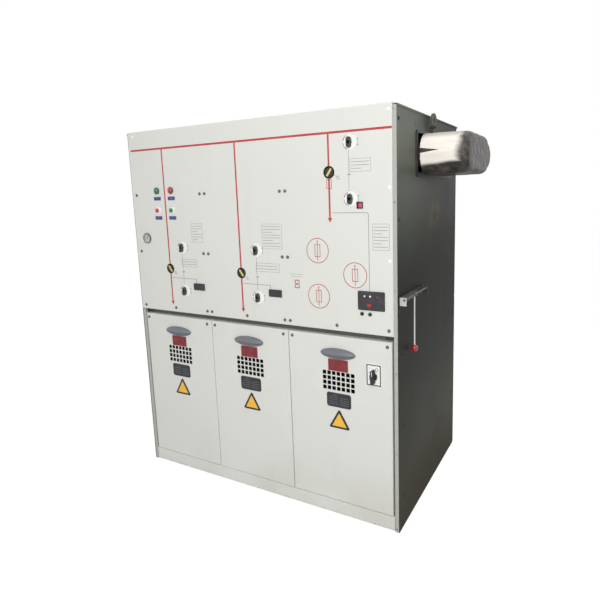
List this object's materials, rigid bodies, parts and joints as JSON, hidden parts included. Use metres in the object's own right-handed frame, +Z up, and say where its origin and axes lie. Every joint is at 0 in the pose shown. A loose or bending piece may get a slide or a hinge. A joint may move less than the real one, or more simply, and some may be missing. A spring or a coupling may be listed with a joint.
{
  "type": "ring main unit",
  "caption": "Floor-standing medium-voltage switchgear cabinet with a mimic panel, turning drive sockets, lift-off cable covers and a busbar outlet on its right side",
  "frame": {"origin": "on the floor, at the centre of the cabinet's footprint", "axes": "+X to the right seen from the front, +Y to the back, +Z up"},
  "size_m": [1.521, 0.834, 1.604],
  "materials": {
    "light_paint": "light grey powder coat, satin",
    "dark_paint": "dark grey-green powder coat, satin",
    "galvanised_steel": "zinc coated sheet",
    "stainless_steel": "plain welded sheet",
    "bright_steel": "zinc plated round bar",
    "black_plastic": "moulded, satin",
    "white_plastic": "moulded, satin",
    "grey_plastic": "moulded, satin",
    "gauge_white": "dial behind a clear window",
    "green_lens": "clear moulded lens",
    "red_lens": "clear moulded lens",
    "red_plastic": "moulded",
    "green_plastic": "moulded",
    "red_plate": "flat plate",
    "black_plate": "flat plate",
    "yellow_plate": "flat plate",
    "brown_resin": "cast resin",
    "white_film": "thin packing film"
  },
  "bodies": {
    "cabinet": {"base_frame": "galvanised_steel", "kick_plate": "light_paint", "floor_plate": "galvanised_steel", "side_panel_left": "dark_paint", "side_panel_right": "dark_paint", "roof_panel": "dark_paint", "rear_panel_lower": "dark_paint", "rear_panel_upper": "dark_paint", "front_post_left": "light_paint", "front_post_right": "light_paint", "header_rail": "galvanised_steel", "middle_rail": "galvanised_steel", "cover_dividers": "galvanised_steel", "mimic_panel": "light_paint", "socket_escutcheons": "white_plastic", "indicator_cups": "black_plastic", "green_lamp": "green_lens", "red_lamp": "red_lens", "button_bezels": "white_plastic", "pressure_gauge": "gauge_white", "voltage_indicators": "grey_plastic", "fault_indicator": "grey_plastic", "test_sockets": "black_plastic", "trip_sleeve": "black_plastic", "cable_cover_left": "light_paint", "cable_cover_middle": "light_paint", "cable_cover_right": "light_paint", "vent_grille_left": "light_paint", "vent_grille_middle": "light_paint", "vent_grille_right": "light_paint", "cover_grips": "black_plastic", "red_plates": "red_plate", "rating_plates": "black_plate", "triangle_plates": "yellow_plate", "cam_switch_plate": "grey_plastic", "gas_tank": "stainless_steel", "busbar_bushings": "brown_resin", "busbar_wrap": "white_film", "opening_edging": "black_plastic", "lifting_lugs": "galvanised_steel", "lever_bracket": "galvanised_steel"},
    "left_upper_drive": {"left_upper_drive": "black_plastic"},
    "left_lower_drive": {"left_lower_drive": "black_plastic"},
    "middle_upper_drive": {"middle_upper_drive": "black_plastic"},
    "middle_lower_drive": {"middle_lower_drive": "black_plastic"},
    "right_upper_drive": {"right_upper_drive": "black_plastic"},
    "right_lower_drive": {"right_lower_drive": "black_plastic"},
    "left_position": {"left_position_disc": "black_plastic"},
    "middle_position": {"middle_position_disc": "black_plastic"},
    "right_position": {"right_position_disc": "black_plastic"},
    "switch_knob": {"cam_switch_knob": "black_plastic"},
    "release_lever": {"lever_rod": "bright_steel", "lever_ball": "red_plastic"},
    "trip": {"trip_button": "red_plastic"},
    "open_push": {"open_button": "red_plastic"},
    "close_push": {"close_button": "green_plastic"}
  },
  "joints": [
    {"name": "left_upper_turn", "type": "hinge", "parent": "cabinet", "child": "left_upper_drive", "pos_m": [-0.3545, -0.4095, 1.0825], "axis": [0, -1, 0], "range_deg": [-90, 0]},
    {"name": "left_lower_turn", "type": "hinge", "parent": "cabinet", "child": "left_lower_drive", "pos_m": [-0.3545, -0.4095, 0.887], "axis": [0, -1, 0], "range_deg": [-90, 0]},
    {"name": "middle_upper_turn", "type": "hinge", "parent": "cabinet", "child": "middle_upper_drive", "pos_m": [0.05, -0.4095, 1.0825], "axis": [0, -1, 0], "range_deg": [-90, 0]},
    {"name": "middle_lower_turn", "type": "hinge", "parent": "cabinet", "child": "middle_lower_drive", "pos_m": [0.05, -0.4095, 0.887], "axis": [0, -1, 0], "range_deg": [-90, 0]},
    {"name": "right_upper_turn", "type": "hinge", "parent": "cabinet", "child": "right_upper_drive", "pos_m": [0.4805, -0.4095, 1.4795], "axis": [0, -1, 0], "range_deg": [-90, 0]},
    {"name": "right_lower_turn", "type": "hinge", "parent": "cabinet", "child": "right_lower_drive", "pos_m": [0.4805, -0.4095, 1.281], "axis": [0, -1, 0], "range_deg": [-90, 0]},
    {"name": "left_position_turn", "type": "hinge", "parent": "cabinet", "child": "left_position", "pos_m": [-0.4365, -0.4095, 0.985], "axis": [0, -1, 0], "range_deg": [-90, 0]},
    {"name": "middle_position_turn", "type": "hinge", "parent": "cabinet", "child": "middle_position", "pos_m": [-0.032, -0.4095, 0.985], "axis": [0, -1, 0], "range_deg": [-90, 0]},
    {"name": "right_position_turn", "type": "hinge", "parent": "cabinet", "child": "right_position", "pos_m": [0.395, -0.4095, 1.3785], "axis": [0, -1, 0], "range_deg": [0, 90]},
    {"name": "switch_turn", "type": "hinge", "parent": "cabinet", "child": "switch_knob", "pos_m": [0.5585, -0.3975, 0.621], "axis": [0, -1, 0], "range_deg": [-45, 45]},
    {"name": "release_lever_swing", "type": "hinge", "parent": "cabinet", "child": "release_lever", "pos_m": [0.675, -0.2765, 0.919], "axis": [0, -1, 0], "range_deg": [0, 80]},
    {"name": "trip_press", "type": "slide", "parent": "cabinet", "child": "trip", "axis": [0, 1, 0], "range_m": [0, 0.004], "stiffness_N_per_m": 300},
    {"name": "open_press", "type": "slide", "parent": "cabinet", "child": "open_push", "axis": [0, 1, 0], "range_m": [0, 0.004], "stiffness_N_per_m": 300},
    {"name": "close_press", "type": "slide", "parent": "cabinet", "child": "close_push", "axis": [0, 1, 0], "range_m": [0, 0.004], "stiffness_N_per_m": 300}
  ]
}
